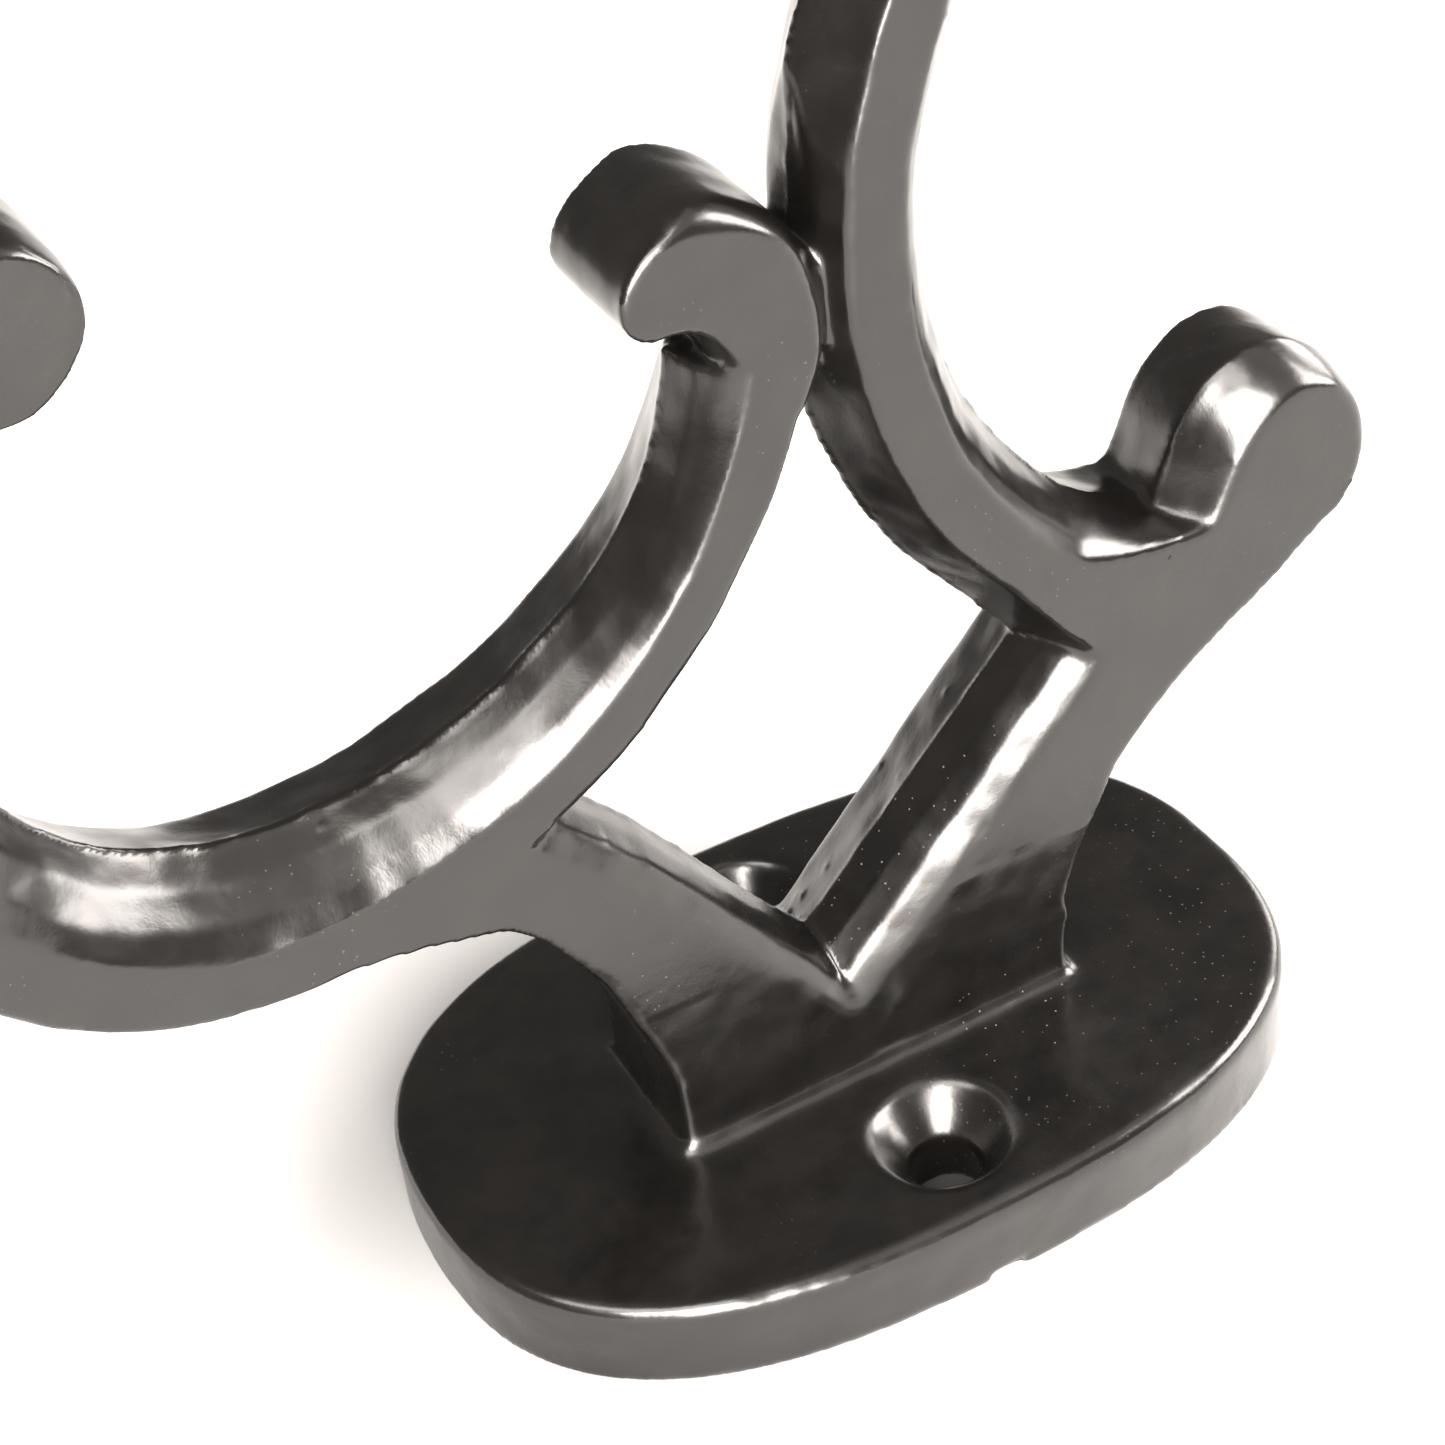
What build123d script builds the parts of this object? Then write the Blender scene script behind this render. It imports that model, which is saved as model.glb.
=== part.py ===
from build123d import *
import os
from math import cos, radians, sin

# Cast iron scroll holdback for a shutter: an oval wall plate, a two-armed yoke and two
# C-shaped scrolls that end in knobs.  The scrolls lie in the XZ plane, the wall plate in
# the XY plane.  The origin is the centre of the plate's wall face and +Z points away from
# the wall.  Sizes are in millimetres.

# ---- driving dimensions ----
foot_depth = 11.1           # thickness of the casting along Y at the wall face
tip_depth = 9.1             # the same at tip_height: the pattern tapers for the mould
tip_height = 80.0

plate_length = 60.6         # wall plate along X
plate_width = 41.0          # wall plate along Y
plate_thickness = 6.5
plate_squareness = 2.54     # 2 is an ellipse, more is squarer
plate_top_round = 0.9
plate_bottom_round = 0.4

screw_spacing = 26.2        # centre to centre, across the yoke
screw_hole = 4.6
screw_head = 9.5            # countersink at the top face
countersink_angle = 80.0
gate_mark = (2.6, 1.4, 1.6) # broken-off casting gate under the front rim: x, y, z
gate_mark_x = -0.1

outer_ridge = 2.3           # mould parting ridge on the outside of a scroll
foot_length = 28.8
foot_toe = 0.6              # small flare where the yoke stands on the plate
foot_overrun = 0.5          # the yoke's outline starts this far inside the plate

# Lower scroll: three tangent arcs of its inner flat edge, counted by the angle of the
# radius.  It starts under its inner knob and runs clockwise under and up the far side.
lower_centre = (-34.4, 68.4)
lower_radius = 32.7
lower_left_radius = 19.1
lower_top_radius = 26.0
lower_start = -15.0
lower_end = -219.0

# Upper scroll: one arc, open towards +X, with a short straighter tail at its lower end.
upper_centre = (39.7, 62.0)
upper_radius = 32.25
upper_flat = 3.6            # width of the flat band on its sides
upper_start = 222.0         # where the arc leaves its tail at the lower end
upper_end = 134.0           # where its far knob begins
upper_tail = ((17.6, 38.7), (21.0, 37.6), (24.6, 37.2))     # inner flat edge past the arc
upper_tail_ridge = ((20.0, 40.2), (22.8, 38.5), (24.8, 37.7))
upper_heel = ((15.9, 34.2), (18.5, 30.5))                   # outer flat edge past the arc
upper_heel_ridge = ((14.1, 32.9), (16.7, 29.2))

# The bars bulge towards the inside of their scroll: a bevel rises from the front flat to a
# crest on the parting plane, and the back half falls from it less steeply.  Along the lower
# scroll, from under its inner knob to its far end, the crest, the height that is left at the
# back, and the width of the front flat band change.
lower_stations = (-15.0, -32.0, -60.0, -84.0, -110.0, -150.0, -219.0)
lower_crest = (3.0, 2.1, 3.2, 4.2, 4.8, 4.5, 3.0)
lower_back = (0.3, 0.5, 2.3, 3.1, 3.1, 2.9, 1.5)
lower_flat = (3.9, 3.1, 3.2, 3.7, 4.0, 4.1, 3.6)
upper_crest = 3.0
upper_back = 1.5
bevel_fullness = 1.3        # 1 is a flat bevel, 2 a round one

# Depths of the parting plane, as fractions of the half thickness: the inner knobs of both
# scrolls part nearer to their front face.
bar_parting = 0.0
hook_parting = -0.57
round_parting = -0.3
front_falls = (1.0, 0.8, 0.45, 0.0)     # layers from the front face to the parting plane


def share_of_crest(depth, parting, back_share, fullness):
    """Share of the crest's height that the section has at a depth."""
    if depth > parting:
        return 1.0 - (1.0 - back_share) * (depth - parting) / (1.0 - parting)
    fall = (parting - depth) / (parting + 1.0)
    return (1.0 - fall ** fullness) ** (1.0 / fullness)


def between(first, second, share):
    """Point part of the way from one point to another."""
    return tuple(a + (b - a) * share for a, b in zip(first, second))


def on_circle(centre, radius, angle):
    return (centre[0] + radius * cos(radians(angle)), centre[1] + radius * sin(radians(angle)))


def interpolate(angle, stations, values):
    """Value at an angle, linear between stations whose angles fall."""
    for i in range(len(stations) - 1):
        if angle >= stations[i + 1]:
            share = (stations[i] - angle) / (stations[i] - stations[i + 1])
            return values[i] + (values[i + 1] - values[i]) * share
    return values[-1]


def depth_plane(depth):
    """Plane of a depth layer.  The layers lean together a little with height."""
    lean = depth * (foot_depth - tip_depth) / 2 / tip_height
    return Plane(origin=(0, depth * foot_depth / 2, 0), x_dir=(1, 0, 0), z_dir=(0, -1, -lean))


def cast_layers(outline, parting):
    """Solid through the depth layers.  outline(depth) gives the closed outline at a depth
    as a list of stretches, each a list of points: two for a straight line, more for a curve."""
    depths = [parting - fall * (parting + 1.0) for fall in front_falls] + [1.0]
    with BuildPart() as body:
        for depth in depths:
            with BuildSketch(depth_plane(depth)):
                with BuildLine():
                    for stretch in outline(depth):
                        if len(stretch) == 2:
                            Line(*stretch)
                        else:
                            Spline(*stretch)
                make_face()
        loft(ruled=True)
    return body.part


# ---- scroll bars ----
lower_left_centre = (lower_centre[0], lower_centre[1] - lower_radius + lower_left_radius)
lower_top_centre = (lower_left_centre[0] + lower_top_radius - lower_left_radius, lower_left_centre[1])


def lower_point(angle, outward):
    """Point on the lower scroll: outward is the distance beyond the inner flat edge."""
    if angle >= -90.0:
        return on_circle(lower_centre, lower_radius + outward, angle)
    if angle >= -180.0:
        return on_circle(lower_left_centre, lower_left_radius + outward, angle)
    return on_circle(lower_top_centre, lower_top_radius + outward, angle)


def lower_bar_outline(depth):
    inner = []
    outer = []
    steps = 17
    for i in range(steps + 1):
        angle = lower_start + (lower_end - lower_start) * i / steps
        crest = interpolate(angle, lower_stations, lower_crest)
        back_share = interpolate(angle, lower_stations, lower_back) / crest
        height = crest * share_of_crest(depth, bar_parting, back_share, bevel_fullness)
        inner.append(lower_point(angle, -height))
        flat = interpolate(angle, lower_stations, lower_flat)
        outer.append(lower_point(angle, flat + outer_ridge * share_of_crest(depth, bar_parting, 0.0, 1.0)))
    return [inner, [inner[-1], outer[-1]], outer[::-1], [outer[0], inner[0]]]


def upper_bar_outline(depth):
    inner_share = share_of_crest(depth, bar_parting, upper_back / upper_crest, bevel_fullness)
    outer_share = share_of_crest(depth, bar_parting, 0.0, 1.0)
    inner_radius = upper_radius - upper_crest * inner_share
    outer_radius = upper_radius + upper_flat + outer_ridge * outer_share
    steps = 8
    angles = [upper_start + (upper_end - upper_start) * i / steps for i in range(steps + 1)]
    tail = [between(a, b, inner_share) for a, b in zip(upper_tail, upper_tail_ridge)]
    heel = [between(a, b, outer_share) for a, b in zip(upper_heel, upper_heel_ridge)]
    inner = [on_circle(upper_centre, inner_radius, angle) for angle in angles]
    outer = [on_circle(upper_centre, outer_radius, angle) for angle in angles]
    inner = tail[::-1] + inner
    outer = heel[::-1] + outer
    return [inner, [inner[-1], outer[-1]], outer[::-1], [outer[0], inner[0]]]


# The two scrolls touch back to back: a plane square to the line of centres parts them.
line_of_centres = Vector(upper_centre[0] - lower_centre[0], 0, upper_centre[1] - lower_centre[1])
reach_difference = lower_radius + lower_flat[0] - upper_radius - upper_flat
touch_distance = (line_of_centres.length + reach_difference) / 2
touch_point = line_of_centres.normalized() * touch_distance
touch_point = touch_point + Vector(lower_centre[0], 0, lower_centre[1])
touch_plane = Plane(origin=touch_point, z_dir=line_of_centres)

with BuildPart() as lower_scroll_bar:
    add(cast_layers(lower_bar_outline, bar_parting))
    split(bisect_by=touch_plane, keep=Keep.BOTTOM)

with BuildPart() as upper_scroll_bar:
    add(cast_layers(upper_bar_outline, bar_parting))
    split(bisect_by=touch_plane, keep=Keep.TOP)


# ---- knobs ----
# A knob is a closed outline with one row for each point: the point's place on the front
# flat, its place on the parting plane, and how full the section is between the two.
def knob_solid(rows, corners, parting, back_share):
    """Solid of a knob; corners are the rows at which its outline turns sharply."""
    def outline(depth):
        shares = [share_of_crest(depth, parting, back_share, row[2]) for row in rows]
        points = [between(row[0], row[1], share) for row, share in zip(rows, shares)]
        points.append(points[0])
        ends = list(corners) + [len(rows)]
        return [points[a:b + 1] for a, b in zip(ends, ends[1:])]
    return cast_layers(outline, parting)


# Hooked knob of the lower scroll: it curls over the end of the bar.
hook_rows = (
    ((-2.0, 55.5), (-2.6, 55.9), 1.4),
    ((-2.8, 60.6), (-4.0, 60.8), 1.4),
    ((-4.6, 63.3), (-5.7, 63.4), 1.6),
    ((-8.1, 64.1), (-8.1, 64.1), 2.0),
    ((-9.7, 65.6), (-9.6, 66.0), 2.0),
    ((-9.5, 67.8), (-8.9, 68.3), 1.6),
    ((-7.8, 69.3), (-7.1, 69.8), 1.6),
    ((-5.0, 69.7), (-5.0, 71.0), 1.6),
    ((-1.5, 68.6), (-1.4, 69.8), 1.4),
    ((1.0, 66.0), (1.6, 66.8), 1.2),
    ((1.8, 62.4), (3.2, 62.3), 1.0),
    ((0.2, 56.5), (1.8, 56.3), 1.0),
)
hook_back = 0.9
with BuildPart() as lower_scroll_inner_knob:
    add(knob_solid(hook_rows, (0, 3, 11), hook_parting, hook_back))
    split(bisect_by=touch_plane, keep=Keep.BOTTOM)
    add(lower_scroll_bar.part, mode=Mode.SUBTRACT)

# Round knob at the lower end of the upper scroll, seated on the yoke's right arm.
round_rows = (
    ((21.0, 36.9), (21.0, 36.9), 1.1),
    ((27.0, 37.3), (24.8, 37.7), 1.1),
    ((28.5, 39.5), (25.8, 40.3), 1.1),
    ((29.9, 41.9), (27.1, 43.0), 1.1),
    ((31.5, 43.5), (29.1, 45.1), 1.1),
    ((33.9, 44.3), (32.3, 46.3), 1.1),
    ((36.6, 43.3), (36.2, 45.1), 1.2),
    ((38.4, 40.3), (39.1, 41.2), 1.3),
    ((38.0, 36.8), (39.3, 37.0), 1.0),
    ((35.6, 34.0), (36.8, 33.7), 1.0),
)
round_back = 0.65
with BuildPart() as upper_scroll_inner_knob:
    add(knob_solid(round_rows, (0, 1, 5, 9), round_parting, round_back))
    add(upper_scroll_bar.part, mode=Mode.SUBTRACT)

# Larger hooked knob for the far end of each scroll, where both bars have the same section.
# Its places are distances along the bar and towards the inside of the scroll, from the end
# of the bar's inner flat edge, and it starts with the bar's own section.
tip_rows = (
    ((0.0, 0.0), (0.0, upper_crest), bevel_fullness),
    ((2.4, 0.5), (2.8, 2.8), 1.8),
    ((4.6, 2.9), (5.1, 3.5), 2.0),
    ((7.8, 4.9), (7.8, 5.1), 2.0),
    ((11.4, 4.4), (11.5, 4.6), 2.0),
    ((13.3, 1.5), (13.6, 1.5), 2.0),
    ((12.4, -1.8), (13.5, -2.5), 1.6),
    ((9.8, -3.9), (10.9, -5.3), 1.2),
    ((5.8, -4.6), (6.3, -6.8), 1.0),
    ((0.0, -upper_flat), (0.0, -upper_flat - outer_ridge), 1.0),
)


def tip_knob(centre, radius, angle):
    """Tip knob on the clockwise end of a scroll, where its radius stands at the angle."""
    end = on_circle(centre, radius, angle)
    along = (sin(radians(angle)), -cos(radians(angle)))
    inward = (-cos(radians(angle)), -sin(radians(angle)))

    def placed(place):
        return tuple(e + a * place[0] + i * place[1] for e, a, i in zip(end, along, inward))

    rows = [(placed(flat), placed(ridge), fullness) for flat, ridge, fullness in tip_rows]
    return knob_solid(rows, (0, 2, 9), bar_parting, upper_back / upper_crest)


with BuildPart() as lower_scroll_outer_knob:
    add(tip_knob(lower_top_centre, lower_top_radius, lower_end))

with BuildPart() as upper_scroll_outer_knob:
    add(tip_knob(upper_centre, upper_radius, upper_end))


# ---- yoke ----
# A flat stem that stands on the plate and forks into one arm for each scroll, with a deep
# V between the arms.  It fills the space below the scrolls and the knob, face to face.
foot_level = plate_thickness - foot_overrun
yoke_left = ((-14.2, 10.8), (-14.8, 14.6), (-16.0, 17.9), (-17.6, 22.5), (-20.0, 26.7), (-22.3, 29.4))
yoke_left_arm = ((-25.0, 30.6), (-30.0, 31.6), (-36.0, 32.6))
# The V, from inside the upper scroll to inside the lower one: each point's place on the
# front flat and on the parting plane, where the arms rise to a crest like the scrolls.
notch_rows = (
    ((30.0, 36.4), (30.0, 36.4)),
    ((23.0, 36.4), (23.0, 36.4)),
    ((20.5, 33.2), (18.4, 34.4)),
    ((-1.05, 10.8), (-1.7, 15.1)),
    ((-14.5, 28.5), (-12.4, 30.0)),
    ((-19.9, 34.1), (-17.4, 35.7)),
    ((-22.5, 36.5), (-22.5, 37.5)),
    ((-30.0, 34.3), (-30.0, 34.3)),
    ((-36.0, 33.6), (-36.0, 33.6)),
)
notch_back = 0.4
notch_fullness = 2.2
yoke_right = (
    (14.6, 10.0), (15.2, 13.8), (16.7, 17.5), (18.2, 20.4), (20.8, 23.8), (25.0, 27.0),
    (30.0, 30.3), (36.4, 34.6),
)


def yoke_outline(depth):
    share = share_of_crest(depth, bar_parting, notch_back, notch_fullness)
    foot = [(-foot_length / 2, foot_level), (foot_length / 2, foot_level)]
    right = [foot[1], *yoke_right]
    left = [*yoke_left_arm[::-1], *yoke_left[::-1], foot[0]]
    path = [right[-1], *[between(flat, ridge, share) for flat, ridge in notch_rows], left[0]]
    return [foot, right, *[list(pair) for pair in zip(path, path[1:])], left]


with BuildPart() as yoke:
    add(cast_layers(yoke_outline, bar_parting))
    split(bisect_by=Plane.XY.offset(plate_thickness), keep=Keep.TOP)
    with BuildSketch(Plane.XY.offset(plate_thickness)):
        Rectangle(foot_length + 2 * foot_toe, foot_depth + 2 * foot_toe)
    extrude(amount=foot_toe, taper=45)
    add(lower_scroll_bar.part, mode=Mode.SUBTRACT)
    add(upper_scroll_bar.part, mode=Mode.SUBTRACT)
    add(upper_scroll_inner_knob.part, mode=Mode.SUBTRACT)


# ---- wall plate ----
def oval_point(angle):
    """Point on the plate's rim, a superellipse between an ellipse and a rectangle."""
    power = 2.0 / plate_squareness
    across = abs(cos(radians(angle))) ** power * plate_length / 2
    along = abs(sin(radians(angle))) ** power * plate_width / 2
    return (across if cos(radians(angle)) > 0 else -across, along if angle < 180 else -along)


with BuildPart() as wall_plate:
    with BuildSketch():
        with BuildLine():
            Spline(*[oval_point(angle) for angle in range(5, 365, 10)], periodic=True)
        make_face()
    extrude(amount=plate_thickness)
    fillet(wall_plate.edges().group_by(Axis.Z)[-1], plate_top_round)
    fillet(wall_plate.edges().group_by(Axis.Z)[0], plate_bottom_round)
    with Locations((0, -screw_spacing / 2, plate_thickness), (0, screw_spacing / 2, plate_thickness)):
        CounterSinkHole(screw_hole / 2, screw_head / 2, counter_sink_angle=countersink_angle)
    with Locations((gate_mark_x, -plate_width / 2, 0)):
        Box(*gate_mark, mode=Mode.SUBTRACT)

# ---- files ----
pieces = {
    "wall_plate": wall_plate,
    "yoke": yoke,
    "lower_scroll_bar": lower_scroll_bar,
    "lower_scroll_inner_knob": lower_scroll_inner_knob,
    "lower_scroll_outer_knob": lower_scroll_outer_knob,
    "upper_scroll_bar": upper_scroll_bar,
    "upper_scroll_inner_knob": upper_scroll_inner_knob,
    "upper_scroll_outer_knob": upper_scroll_outer_knob,
}
os.makedirs("parts", exist_ok=True)
for name, piece in pieces.items():
    piece.part.label = name
    export_step(piece.part, f"parts/{name}.step")
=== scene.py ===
from math import cos, pi, radians, sin

import bmesh
import bpy
import numpy as np
from mathutils import Matrix, Quaternion, Vector, noise
from mathutils.bvhtree import BVHTree
from mathutils.geometry import delaunay_2d_cdt


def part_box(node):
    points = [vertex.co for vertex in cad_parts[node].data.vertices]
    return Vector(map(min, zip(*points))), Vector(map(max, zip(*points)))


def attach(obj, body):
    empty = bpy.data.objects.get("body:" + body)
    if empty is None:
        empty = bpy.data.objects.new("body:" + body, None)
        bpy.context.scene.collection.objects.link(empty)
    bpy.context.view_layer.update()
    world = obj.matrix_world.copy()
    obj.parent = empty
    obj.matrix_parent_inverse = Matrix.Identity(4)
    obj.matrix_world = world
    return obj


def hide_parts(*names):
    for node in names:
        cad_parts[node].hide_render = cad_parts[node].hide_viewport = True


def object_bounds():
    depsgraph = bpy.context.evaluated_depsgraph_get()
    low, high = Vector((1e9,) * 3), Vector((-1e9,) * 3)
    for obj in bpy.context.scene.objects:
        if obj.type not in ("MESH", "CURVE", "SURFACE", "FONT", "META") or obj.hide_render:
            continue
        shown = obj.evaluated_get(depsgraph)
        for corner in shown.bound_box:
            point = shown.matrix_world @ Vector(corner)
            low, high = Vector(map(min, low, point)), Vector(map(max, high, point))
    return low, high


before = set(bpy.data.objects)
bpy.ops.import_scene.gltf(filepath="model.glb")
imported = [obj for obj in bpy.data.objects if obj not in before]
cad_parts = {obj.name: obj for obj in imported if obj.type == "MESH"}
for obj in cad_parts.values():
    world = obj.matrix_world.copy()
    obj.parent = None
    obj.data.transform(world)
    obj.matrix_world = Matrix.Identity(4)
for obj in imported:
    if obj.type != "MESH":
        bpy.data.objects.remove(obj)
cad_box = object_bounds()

# The looks of a cast iron shutter holdback, in the frame's own metres.  One soft casting skin
# is drawn over all the CAD nodes, given the ripples and faults of a sand casting, and cut into
# a closed piece for each node.  A black powder coat covers it.
MM = 0.001

# ---- camera ----
CAMERA_AZIMUTH = -23.27         # degrees; 0 looks along +Y
CAMERA_ELEVATION = 38.45
CAMERA_ROLL = -8.29
CAMERA_LENS = 80.55             # mm, on a sensor of this width
CAMERA_SENSOR = 36.0
CAMERA_CLIP = (0.01, 20.0)
CAMERA_PLACE = Vector((-65.69, -140.39, 155.18)) * MM


def make_camera():
    """Camera at the photograph's angle, with its small roll."""
    azimuth = radians(CAMERA_AZIMUTH)
    elevation = radians(CAMERA_ELEVATION)
    roll = radians(CAMERA_ROLL)
    back = Vector((sin(azimuth) * cos(elevation), -cos(azimuth) * cos(elevation), sin(elevation)))
    level = (-back).cross(Vector((0.0, 0.0, 1.0))).normalized()
    upright = level.cross(-back)
    right = level * cos(roll) + upright * sin(roll)
    up = upright * cos(roll) - level * sin(roll)
    data = bpy.data.cameras.new("camera")
    data.lens = CAMERA_LENS
    data.sensor_width = CAMERA_SENSOR
    data.clip_start, data.clip_end = CAMERA_CLIP
    camera = bpy.data.objects.new("camera", data)
    bpy.context.scene.collection.objects.link(camera)
    turn = Matrix((right, up, back)).transposed()
    camera.matrix_world = Matrix.Translation(CAMERA_PLACE) @ turn.to_4x4()
    bpy.context.scene.camera = camera


# ---- casting skin ----
VOXEL = 0.30 * MM
SMOOTH_ROUNDS = 6
SMOOTH_FACTOR = 0.5
# Softer fillets: a line in the XZ plane (two ends, in mm), its reach in mm and the rounds.
SOFT_PLACES = {
    "diamond_right": ((-1.0, 11.0), (18.0, 30.5), 2.4, 14),
    "diamond_left": ((-1.0, 11.0), (-14.5, 28.5), 2.0, 10),
    "foot": ((-14.0, 7.0), (14.0, 7.0), 3.5, 24),
    "stem_left": ((-15.0, 12.0), (-18.0, 20.0), 4.0, 24),
}


def joined_nodes():
    """One mesh object that holds a copy of every CAD node's mesh."""
    joined = bmesh.new()
    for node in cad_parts.values():
        joined.from_mesh(node.data)
    mesh = bpy.data.meshes.new("casting_skin")
    joined.to_mesh(mesh)
    joined.free()
    skin = bpy.data.objects.new("casting_skin", mesh)
    bpy.context.scene.collection.objects.link(skin)
    return skin


def bake_modifiers(piece):
    """Replace the piece's mesh by what its modifiers make of it."""
    graph = bpy.context.evaluated_depsgraph_get()
    mesh = bpy.data.meshes.new_from_object(piece.evaluated_get(graph))
    piece.modifiers.clear()
    piece.data = mesh


def make_skin():
    """One smooth skin over all the nodes, softer along its fillets."""
    skin = joined_nodes()
    remesh = skin.modifiers.new("remesh", "REMESH")
    remesh.mode = "VOXEL"
    remesh.voxel_size = VOXEL
    remesh.adaptivity = 0.0
    bake_modifiers(skin)
    smooth = skin.modifiers.new("smooth", "SMOOTH")
    smooth.factor = SMOOTH_FACTOR
    smooth.iterations = SMOOTH_ROUNDS
    bake_modifiers(skin)
    for name, (start, end, radius, rounds) in SOFT_PLACES.items():
        soften(skin, name, start, end, radius, rounds)
    return skin


def soften(skin, name, start, end, radius, rounds):
    """Extra smoothing around a line across the part's depth, fading out at the radius."""
    start = np.array(start) * MM
    along = np.array(end) * MM - start
    places = np.array([v.co for v in skin.data.vertices])[:, [0, 2]] - start
    share = np.clip(places @ along / (along @ along), 0.0, 1.0)
    reach = np.linalg.norm(places - share[:, None] * along, axis=1) / (radius * MM)
    weights = np.clip(2.0 - 2.0 * reach, 0.0, 1.0)
    group = skin.vertex_groups.new(name=name)
    for index in np.flatnonzero(weights):
        group.add([int(index)], float(weights[index]), "REPLACE")
    smooth = skin.modifiers.new(name, "SMOOTH")
    smooth.factor = SMOOTH_FACTOR
    smooth.iterations = rounds
    smooth.vertex_group = name
    bake_modifiers(skin)
    skin.vertex_groups.clear()


# ---- casting faults ----
FAR = 5.0 * MM                  # a node's surface is looked for within this distance
NOISE_SHIFTS = (3.1, 5.7, 7.3)  # how far each seed moves the noise along X, Y and Z
WAVE_SEED = 1
WAVE_LENGTH = 6.0 * MM
WAVE_HEIGHT = 0.16 * MM
RIPPLE_SEED = 2
RIPPLE_LENGTH = 2.2 * MM
RIPPLE_HEIGHT = 0.07 * MM
PLATE_SHARE = 0.7               # of the waves and ripples left on the wall plate
GROUND_SHARE = 0.05             # and on the ground front and back flats
GROUND_START = 12 * MM          # the flats begin this far above the plate
GROUND_NORMAL = 0.97            # and their normals have at least this share along Y
CLEAN_BAND = 0.5 * MM           # no faults this close to the table
FLASH_HEIGHT = 0.16 * MM        # thin broken ridge where the two halves of the mould met
FLASH_WIDTH = 0.28 * MM
FLASH_NORMAL = 0.75             # only where the normal has at most this share along Y
FLASH_SEED = 3
FLASH_LENGTH = 1.1 * MM         # of its breaks
FLASH_MEAN = 0.55
FLASH_SWING = 0.6
FLASH_MOST = 1.2
NIB_SEED = 7
NIB_COUNT = 60
NIB_HEIGHT = 0.09 * MM
NIB_HEIGHTS = (0.4, 1.0)        # smallest and largest, as shares of the height
NIB_RADIUS = 0.28 * MM
NIB_RADII = (0.6, 1.2)


def node_distances(points, names):
    """Distance from each point to each node's surface, or FAR where it is out of reach."""
    distances = np.full((len(points), len(names)), FAR)
    for column, name in enumerate(names):
        tree = BVHTree.FromObject(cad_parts[name], bpy.context.evaluated_depsgraph_get())
        low, high = (np.array(corner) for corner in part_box(name))
        near = np.all((points > low - FAR) & (points < high + FAR), axis=1)
        for index in np.flatnonzero(near):
            found = tree.find_nearest(points[index], FAR)
            if found[3] is not None:
                distances[index, column] = found[3]
    return distances


def noise_at(points, length, seed):
    """Smooth noise from -1 to 1 at each point."""
    shift = Vector([seed * step for step in NOISE_SHIFTS])
    return np.array([noise.noise(Vector(point) / length + shift) for point in points])


def cast_surface(points, normals, distances, names):
    """Points moved along their normals by the ripples, mould flash and nibs of a casting."""
    lowest = cad_box[0].z
    owner = np.argmin(distances, axis=1)
    foot_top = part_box("wall_plate")[1].z
    on_plate = owner == names.index("wall_plate")
    ground = (np.abs(normals[:, 1]) > GROUND_NORMAL) & (points[:, 2] > foot_top + GROUND_START)
    share = np.where(ground, GROUND_SHARE, 1.0)
    share = np.where(on_plate, PLATE_SHARE, share)
    lift = share * WAVE_HEIGHT * noise_at(points, WAVE_LENGTH, WAVE_SEED)
    lift += share * RIPPLE_HEIGHT * noise_at(points, RIPPLE_LENGTH, RIPPLE_SEED)
    parted = [names.index(name) for name in names if name.endswith("_bar") or name == "yoke"]
    flash = np.isin(owner, parted) & (np.abs(normals[:, 1]) < FLASH_NORMAL)
    rough = FLASH_MEAN + FLASH_SWING * noise_at(points, FLASH_LENGTH, FLASH_SEED)
    ridge = np.exp(-(points[:, 1] / FLASH_WIDTH) ** 2)
    lift += flash * FLASH_HEIGHT * np.clip(rough, 0.0, FLASH_MOST) * ridge
    dice = np.random.default_rng(NIB_SEED)
    for index in dice.integers(0, len(points), NIB_COUNT):
        radius = NIB_RADIUS * dice.uniform(*NIB_RADII)
        reach = np.linalg.norm(points - points[index], axis=1) / radius
        lift += NIB_HEIGHT * dice.uniform(*NIB_HEIGHTS) * np.exp(-reach ** 2)
    lift = np.where(points[:, 2] < lowest + CLEAN_BAND, 0.0, lift)
    moved = points + normals * lift[:, None]
    return np.clip(moved, np.array(cad_box[0]), np.array(cad_box[1]))


# ---- pieces ----
SNAP_SHARE = 0.25               # a cut this close to a vertex, as a share of the edge, moves it
SKIN = 0                        # marks of a face: on the outside, or on a cut between nodes
CUT = 1
FIRST_DISTANCE = 6              # column of the first node's distance, after place and normal
MM_IN_METRE = 1000
INSIDE_ONLY = 1                 # the Delaunay triangles outside a loop are dropped
SAME_PLACE = 1e-7               # mm; loop points this close count as one


def snap_to_zero(points, faces, score):
    """Vertices close to where the score changes sign, moved onto it with a score of nought."""
    edges = np.vstack([faces[:, [0, 1]], faces[:, [1, 2]], faces[:, [2, 0]]])
    edges = edges[score[edges[:, 0]] * score[edges[:, 1]] < 0]
    first, second = edges.T
    share = score[first] / (score[first] - score[second])
    close = share < SNAP_SHARE
    first, second, share = first[close], second[close], share[close]
    points = points.copy()
    score = score.copy()
    points[first] += (points[second] - points[first]) * share[:, None]
    score[first] = 0.0
    return points, score


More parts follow.
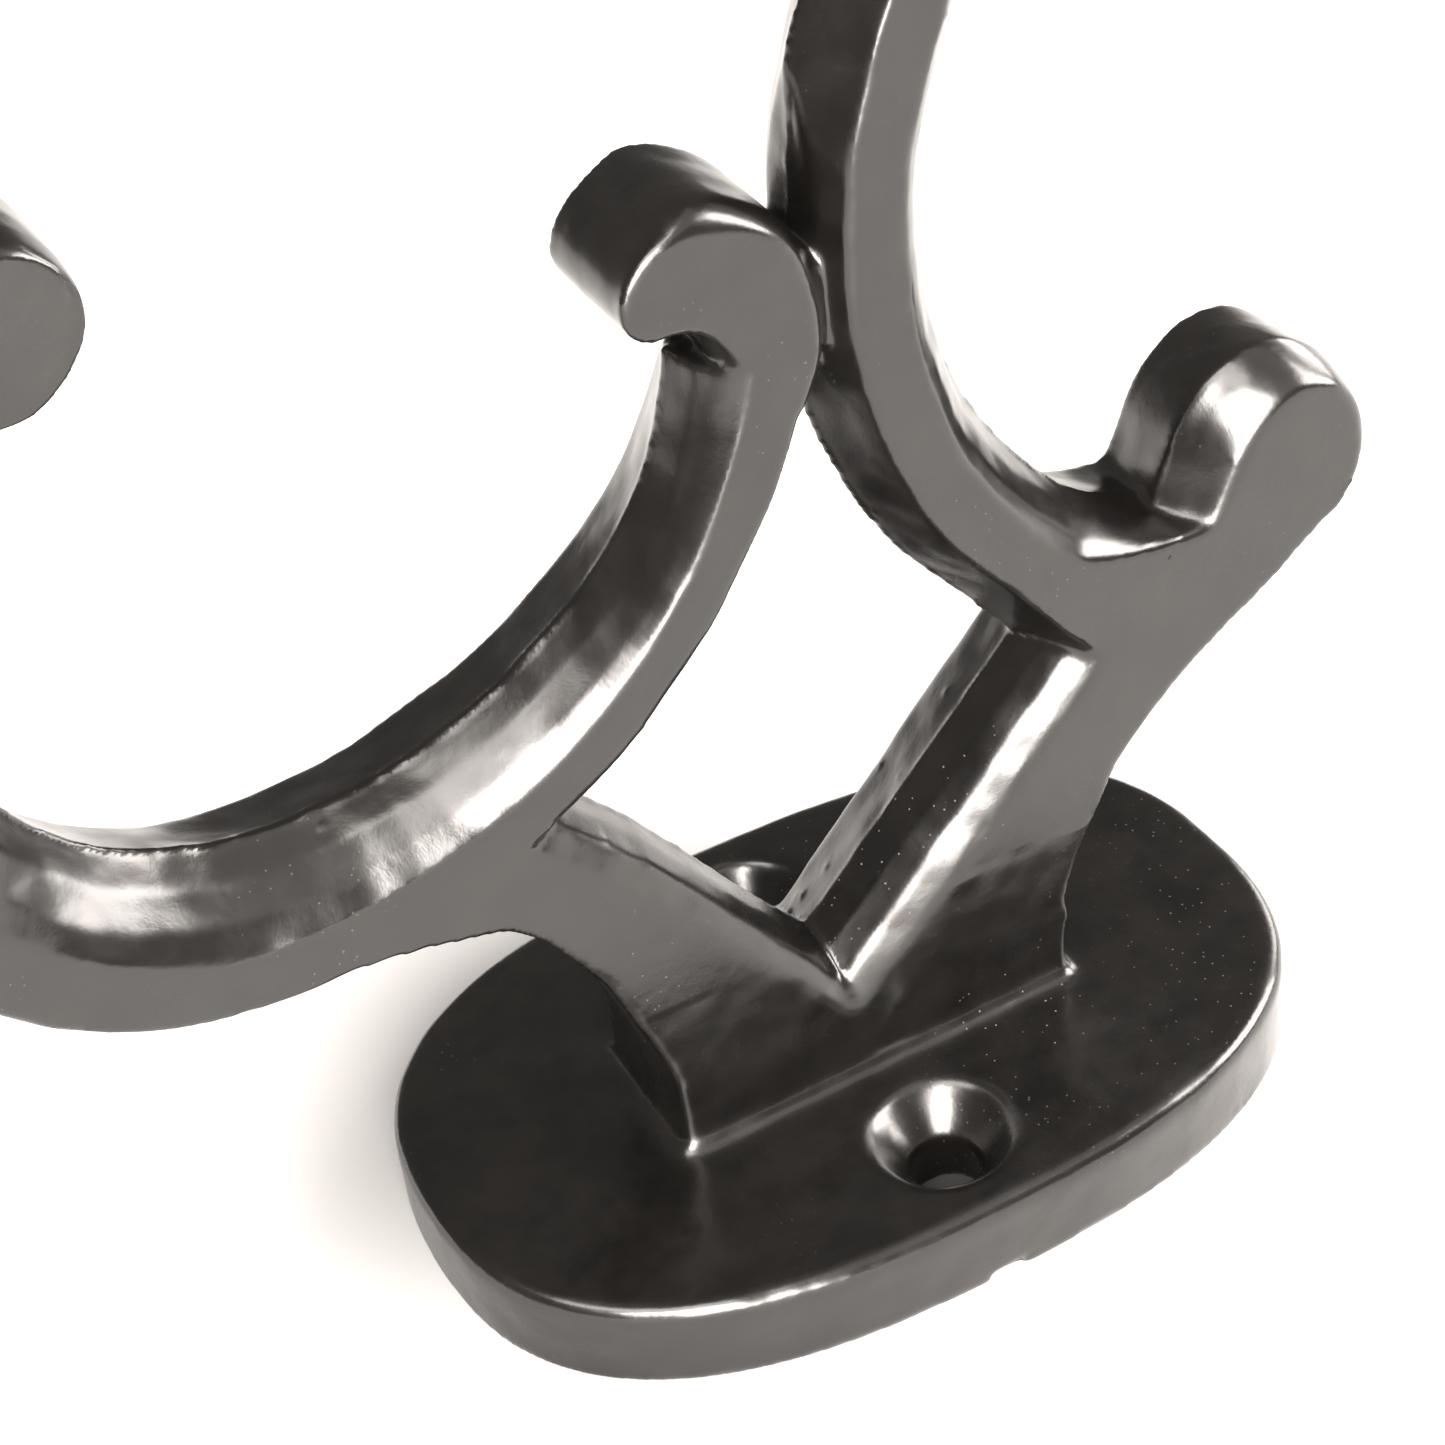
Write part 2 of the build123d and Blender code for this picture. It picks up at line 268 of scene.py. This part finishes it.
def split_at_zero(rows, faces, score):
    """Cut triangles where the score changes sign.  Rows hold one line of values for each
    vertex, and get more.  Faces hold three vertices and a mark, which the cut faces keep."""
    made = {}
    new_rows = []

    def crossing(a, b):
        key = (min(a, b), max(a, b))
        if key not in made:
            first, second = key
            share = score[first] / (score[first] - score[second])
            made[key] = len(rows) + len(new_rows)
            new_rows.append(rows[first] * (1 - share) + rows[second] * share)
        return made[key]

    side = np.sign(score[faces[:, :3]])
    any_low = (side < 0).any(axis=1)
    any_high = (side > 0).any(axis=1)
    crossed = any_low & any_high
    low = [tuple(face) for face in faces[~any_high]]
    high = [tuple(face) for face in faces[any_high & ~any_low]]
    for face, signs in zip(faces[crossed], side[crossed]):
        mark = int(face[3])
        if (signs == 0).any():
            odd = int(np.flatnonzero(signs == 0)[0])
            a, b, c = (int(face[(odd + step) % 3]) for step in range(3))
            middle = crossing(b, c)
            parts = [(signs[(odd + 1) % 3], (a, b, middle)), (signs[(odd + 2) % 3], (a, middle, c))]
        else:
            odd = int(np.flatnonzero(signs == -signs.sum())[0])
            a, b, c = (int(face[(odd + step) % 3]) for step in range(3))
            ab = crossing(a, b)
            ac = crossing(a, c)
            tip = signs[odd]
            parts = [(tip, (a, ab, ac)), (-tip, (ab, b, c)), (-tip, (ab, c, ac))]
        for sign, triangle in parts:
            (low if sign < 0 else high).append(triangle + (mark,))
    if new_rows:
        rows = np.vstack([rows, new_rows])
    return rows, np.array(low), np.array(high)


def boundary_loops(faces):
    """Closed loops of the edges that only one face uses, in the direction that closes them."""
    edges = {(int(face[i]), int(face[(i + 1) % 3])) for face in faces for i in range(3)}
    following = {}
    for a, b in edges:
        if (b, a) not in edges:
            following.setdefault(b, []).append(a)
    loops = []
    while following:
        start = next(iter(following))
        loop = []
        step = start
        while not loop or step != start:
            loop.append(step)
            onward = following[step]
            if len(onward) == 1:
                del following[step]
            step = onward.pop()
        loops.append(loop)
    return loops


def cap(points, loop):
    """Faces that close a loop, ruled across the part's thickness along Y."""
    corners = points[loop]
    flat = corners[:, [0, 2]] - corners[:, [0, 2]].mean(axis=0)
    along = np.linalg.svd(flat, full_matrices=False)[2][0]
    across = flat @ along * MM_IN_METRE
    places = [Vector((u, v)) for u, v in zip(across, corners[:, 1] * MM_IN_METRE)]
    count = len(loop)
    edges = [(i, (i + 1) % count) for i in range(count)]
    made = delaunay_2d_cdt(places, edges, [], INSIDE_ONLY, SAME_PLACE)
    origin = [(found[0] if found else -1) for found in made[3]]
    triangles = [tuple(origin[i] for i in face) for face in made[2]]
    triangles = [t for t in triangles if -1 not in t and len(set(t)) == 3]
    area = sum(places[i].x * places[j].y - places[j].x * places[i].y for i, j in edges)
    if area < 0:
        triangles = [t[::-1] for t in triangles]
    return [tuple(loop[i] for i in t) for t in triangles]


def make_piece(name, points, normals, faces, material):
    """Closed mesh object for one CAD node, shaded as part of the whole skin."""
    used = np.unique(faces[:, :3])
    place = np.searchsorted(used, faces[:, :3])
    mesh = bpy.data.meshes.new(name)
    mesh.from_pydata(points[used].tolist(), [], place.tolist())
    mesh.update()
    flat = np.array([polygon.normal for polygon in mesh.polygons])
    on_cut = (faces[:, 3] == CUT)[:, None, None]
    corner_normals = np.where(on_cut, flat[:, None, :], normals[faces[:, :3]])
    mesh.polygons.foreach_set("use_smooth", [True] * len(mesh.polygons))
    mesh.normals_split_custom_set(corner_normals.reshape(-1, 3).tolist())
    mesh.materials.append(material)
    piece = bpy.data.objects.new(name, mesh)
    bpy.context.scene.collection.objects.link(piece)
    return piece


def make_pieces(skin, material):
    """One closed piece for each CAD node, cut from the skin where the nodes meet."""
    names = sorted(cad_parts)
    mesh = skin.data
    mesh.calc_loop_triangles()
    points = np.array([v.co for v in mesh.vertices], float)
    normals = np.array([v.normal for v in mesh.vertices], float)
    faces = np.array([tuple(t.vertices) + (SKIN,) for t in mesh.loop_triangles])
    distances = node_distances(points, names)
    points = cast_surface(points, normals, distances, names)
    mesh.vertices.foreach_set("co", points.ravel())
    mesh.update()
    normals = np.array([v.normal for v in mesh.vertices], float)
    bpy.data.objects.remove(skin)
    rows = np.hstack([points, normals, distances])
    owned = []
    for column in range(FIRST_DISTANCE, FIRST_DISTANCE + len(names) - 1):
        score = rows[:, column] - rows[:, column + 1:].min(axis=1)
        rows[:, :3], score = snap_to_zero(rows[:, :3], faces[:, :3], score)
        rows, mine, faces = split_at_zero(rows, faces, score)
        for loop in boundary_loops(mine):
            ends = cap(rows[:, :3], loop)
            mine = np.vstack([mine, [face + (CUT,) for face in ends]])
            faces = np.vstack([faces, [face[::-1] + (CUT,) for face in ends]])
        owned.append(mine)
    owned.append(faces)
    for node, mine in zip(names, owned):
        piece = make_piece("cast_" + node, rows[:, :3], rows[:, 3:6], mine, material)
        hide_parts(node)
        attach(piece, "root")


# ---- coat ----
# A noise scale is in waves for each metre.  Two numbers are a range, from low to high.
NEAR_BLACK = (0.0014, 0.0013, 0.0012, 1.0)
BROWN_BLACK = (0.0030, 0.0026, 0.0022, 1.0)
CLOUD_SCALE = 220.0
CLOUD_EDGES = (0.35, 0.70)
DUST_COLOUR = (0.12, 0.10, 0.075, 1.0)
SPECK_SCALE = 1500.0
SPECK_EDGE = (0.06, 0.12)
SETTLED_SCALE = 60.0            # where thin dust has settled, all over the part
SETTLED_EDGES = (0.52, 0.72)
SETTLED_MOST = 0.35
DUST_PLACES = ((0.003, -0.001, 0.0185), (0.0085, -0.001, 0.0235), (0.010, -0.007, 0.0065))
DUST_REACH = 7.0 * MM           # thicker dust lies around these places
DUST_CORE = 0.3 * DUST_REACH
DUST_MOST = 0.7
GLOSS_SCALE = 160.0
GLOSS_EDGES = (0.3, 0.7)
ROUGHNESS = (0.20, 0.30)
PEEL_SCALE = 900.0
PEEL_STRENGTH = 0.35
PEEL_HEIGHT = 0.05 * MM
GRAIN_SCALE = 7000.0
GRAIN_STRENGTH = 0.25
GRAIN_HEIGHT = 0.02 * MM


def powder_coat():
    """Black semi-gloss powder coat: orange peel, small specks of dust and uneven gloss."""
    material = bpy.data.materials.new("black_powder_coat")
    material.use_nodes = True
    nodes = material.node_tree.nodes
    links = material.node_tree.links
    shader = nodes["Principled BSDF"]
    place = nodes.new("ShaderNodeTexCoord").outputs["Object"]

    def clouds(scale, detail, roughness):
        node = nodes.new("ShaderNodeTexNoise")
        node.inputs["Scale"].default_value = scale
        node.inputs["Detail"].default_value = detail
        node.inputs["Roughness"].default_value = roughness
        links.new(place, node.inputs["Vector"])
        return node.outputs["Fac"]

    def mapped(value, edges, ends):
        node = nodes.new("ShaderNodeMapRange")
        node.inputs["From Min"].default_value, node.inputs["From Max"].default_value = edges
        node.inputs["To Min"].default_value, node.inputs["To Max"].default_value = ends
        links.new(value, node.inputs["Value"])
        return node.outputs["Result"]

    def combined(operation, first, second):
        node = nodes.new("ShaderNodeMath")
        node.operation = operation
        links.new(first, node.inputs[0])
        links.new(second, node.inputs[1])
        return node.outputs["Value"]

    def bump(height, strength, distance):
        node = nodes.new("ShaderNodeBump")
        node.inputs["Strength"].default_value = strength
        node.inputs["Distance"].default_value = distance
        links.new(height, node.inputs["Height"])
        return node

    # colour: near black, a little browner and lighter in clouds, with pale dust specks
    ramp = nodes.new("ShaderNodeValToRGB")
    darker, lighter = ramp.color_ramp.elements
    darker.position, lighter.position = CLOUD_EDGES
    darker.color = NEAR_BLACK
    lighter.color = BROWN_BLACK
    links.new(clouds(CLOUD_SCALE, 3.0, 0.6), ramp.inputs["Fac"])
    specks = nodes.new("ShaderNodeTexVoronoi")
    specks.inputs["Scale"].default_value = SPECK_SCALE
    links.new(place, specks.inputs["Vector"])
    near = mapped(specks.outputs["Distance"], SPECK_EDGE, (1.0, 0.0))
    settled = mapped(clouds(SETTLED_SCALE, 1.0, 0.5), SETTLED_EDGES, (0.0, SETTLED_MOST))
    for centre in DUST_PLACES:
        away = nodes.new("ShaderNodeVectorMath")
        away.operation = "DISTANCE"
        away.inputs[1].default_value = centre
        links.new(place, away.inputs[0])
        patch = mapped(away.outputs["Value"], (DUST_CORE, DUST_REACH), (DUST_MOST, 0.0))
        settled = combined("MAXIMUM", settled, patch)
    dust = nodes.new("ShaderNodeMix")
    dust.data_type = "RGBA"
    dust.inputs["B"].default_value = DUST_COLOUR
    links.new(combined("MULTIPLY", near, settled), dust.inputs["Factor"])
    links.new(ramp.outputs["Color"], dust.inputs["A"])
    links.new(dust.outputs["Result"], shader.inputs["Base Color"])

    # gloss: satin with smoother and rougher clouds
    gloss = mapped(clouds(GLOSS_SCALE, 4.0, 0.6), GLOSS_EDGES, ROUGHNESS)
    links.new(gloss, shader.inputs["Roughness"])

    # orange peel and fine grain
    peel = bump(clouds(PEEL_SCALE, 2.0, 0.5), PEEL_STRENGTH, PEEL_HEIGHT)
    grain = bump(clouds(GRAIN_SCALE, 2.0, 0.6), GRAIN_STRENGTH, GRAIN_HEIGHT)
    links.new(peel.outputs["Normal"], grain.inputs["Normal"])
    links.new(grain.outputs["Normal"], shader.inputs["Normal"])
    return material


# ---- surroundings ----
FLOOR_HALF = 3.0
FLOOR_ROUGHNESS = 0.8
FLOOR_GREY = 0.46
PAINTED_SHADE_GREY = 0.08               # painted shade: the table's colour is darker beside the plate's left end, standing in for a shadow there
PAINTED_SHADE_CENTRE = (-0.016, 0.010, 0.0)
PAINTED_SHADE_REACH = 0.046
PAINTED_UNDER_PLATE_SHARE = 0.03            # painted shade: the table under the plate, seen through its holes, is coloured dark
PAINTED_UNDER_PLATE_REACH = 0.018
PAINTED_UNDER_PLATE_CORE = 0.95 * PAINTED_UNDER_PLATE_REACH
WARM_WHITE = (1.0, 0.94, 0.89)
WORLD_STRENGTH = 0.27
SOFTBOX_DISTANCE = 0.9
# Name, azimuth, elevation and roll in degrees, width and height in metres, radiance.
SOFTBOXES = (
    ("key_softbox", -24.6, 27.5, 20.0, (0.46, 0.94), 50.0),
    ("top_reflector", -62.0, 66.0, 20.0, (0.62, 0.38), 14.0),
    ("right_softbox", 75.0, 30.0, 0.0, (0.52, 0.56), 30.0),
    ("ceiling", 30.0, 66.0, 0.0, (1.0, 0.7), 1.2),
    ("back_reflector", 113.0, 18.0, 0.0, (0.30, 0.34), 15.0),
)


def make_floor():
    """White table that the plate's wall face lies on, with painted shade beside the plate's left
    end and under the plate.
    """
    mesh = bpy.data.meshes.new("floor")
    corners = [(-1, -1), (1, -1), (1, 1), (-1, 1)]
    points = [(x * FLOOR_HALF, y * FLOOR_HALF, cad_box[0].z) for x, y in corners]
    mesh.from_pydata(points, [], [(0, 1, 2, 3)])
    floor = bpy.data.objects.new("floor", mesh)
    bpy.context.scene.collection.objects.link(floor)
    material = bpy.data.materials.new("white_table")
    material.use_nodes = True
    shader = material.node_tree.nodes["Principled BSDF"]
    shader.inputs["Roughness"].default_value = FLOOR_ROUGHNESS
    nodes = material.node_tree.nodes
    links = material.node_tree.links
    place = nodes.new("ShaderNodeTexCoord").outputs["Object"]
    # painted shade: the table's grey darkens towards a point beside the plate's left end
    away = nodes.new("ShaderNodeVectorMath")
    away.operation = "DISTANCE"
    away.inputs[1].default_value = PAINTED_SHADE_CENTRE
    links.new(place, away.inputs[0])
    grey_with_painted_shade = nodes.new("ShaderNodeMapRange")
    grey_with_painted_shade.interpolation_type = "SMOOTHSTEP"
    grey_with_painted_shade.inputs["From Max"].default_value = PAINTED_SHADE_REACH
    grey_with_painted_shade.inputs["To Min"].default_value = PAINTED_SHADE_GREY
    grey_with_painted_shade.inputs["To Max"].default_value = FLOOR_GREY
    links.new(away.outputs["Value"], grey_with_painted_shade.inputs["Value"])
    # painted shade: the table's grey goes nearly black under the plate, seen through its holes
    inward = nodes.new("ShaderNodeVectorMath")
    inward.operation = "LENGTH"
    links.new(place, inward.inputs[0])
    painted_under_plate = nodes.new("ShaderNodeMapRange")
    painted_under_plate.inputs["From Min"].default_value = PAINTED_UNDER_PLATE_CORE
    painted_under_plate.inputs["From Max"].default_value = PAINTED_UNDER_PLATE_REACH
    painted_under_plate.inputs["To Min"].default_value = PAINTED_UNDER_PLATE_SHARE
    links.new(inward.outputs["Value"], painted_under_plate.inputs["Value"])
    shaded = nodes.new("ShaderNodeMath")
    shaded.operation = "MULTIPLY"
    links.new(grey_with_painted_shade.outputs["Result"], shaded.inputs[0])
    links.new(painted_under_plate.outputs["Result"], shaded.inputs[1])
    links.new(shaded.outputs["Value"], shader.inputs["Base Color"])
    mesh.materials.append(material)


def make_softbox(name, azimuth, elevation, roll, size, radiance):
    """Soft box that faces the part.  Azimuth 0 is in front of it, on the -Y side.  A roll
    leans its top to the left, seen from the part."""
    a = radians(azimuth)
    e = radians(elevation)
    place = Vector((sin(a) * cos(e), -cos(a) * cos(e), sin(e))) * SOFTBOX_DISTANCE
    lean = Quaternion((0, 0, 1), radians(roll))
    data = bpy.data.lights.new(name, "AREA")
    data.shape = "RECTANGLE"
    data.size, data.size_y = size
    data.energy = radiance * size[0] * size[1] * pi
    data.color = WARM_WHITE
    lamp = bpy.data.objects.new(name, data)
    lamp.location = place
    lamp.rotation_mode = "QUATERNION"
    lamp.rotation_quaternion = (-place).to_track_quat("-Z", "Y") @ lean
    bpy.context.scene.collection.objects.link(lamp)


def make_world():
    """Dim, even light from all around."""
    world = bpy.data.worlds.new("studio")
    world.use_nodes = True
    background = world.node_tree.nodes["Background"]
    background.inputs["Color"].default_value = WARM_WHITE + (1.0,)
    background.inputs["Strength"].default_value = WORLD_STRENGTH
    bpy.context.scene.world = world
    bpy.context.scene.view_settings.view_transform = "Standard"


make_camera()
make_floor()
make_world()
for softbox in SOFTBOXES:
    make_softbox(*softbox)
make_pieces(make_skin(), powder_coat())
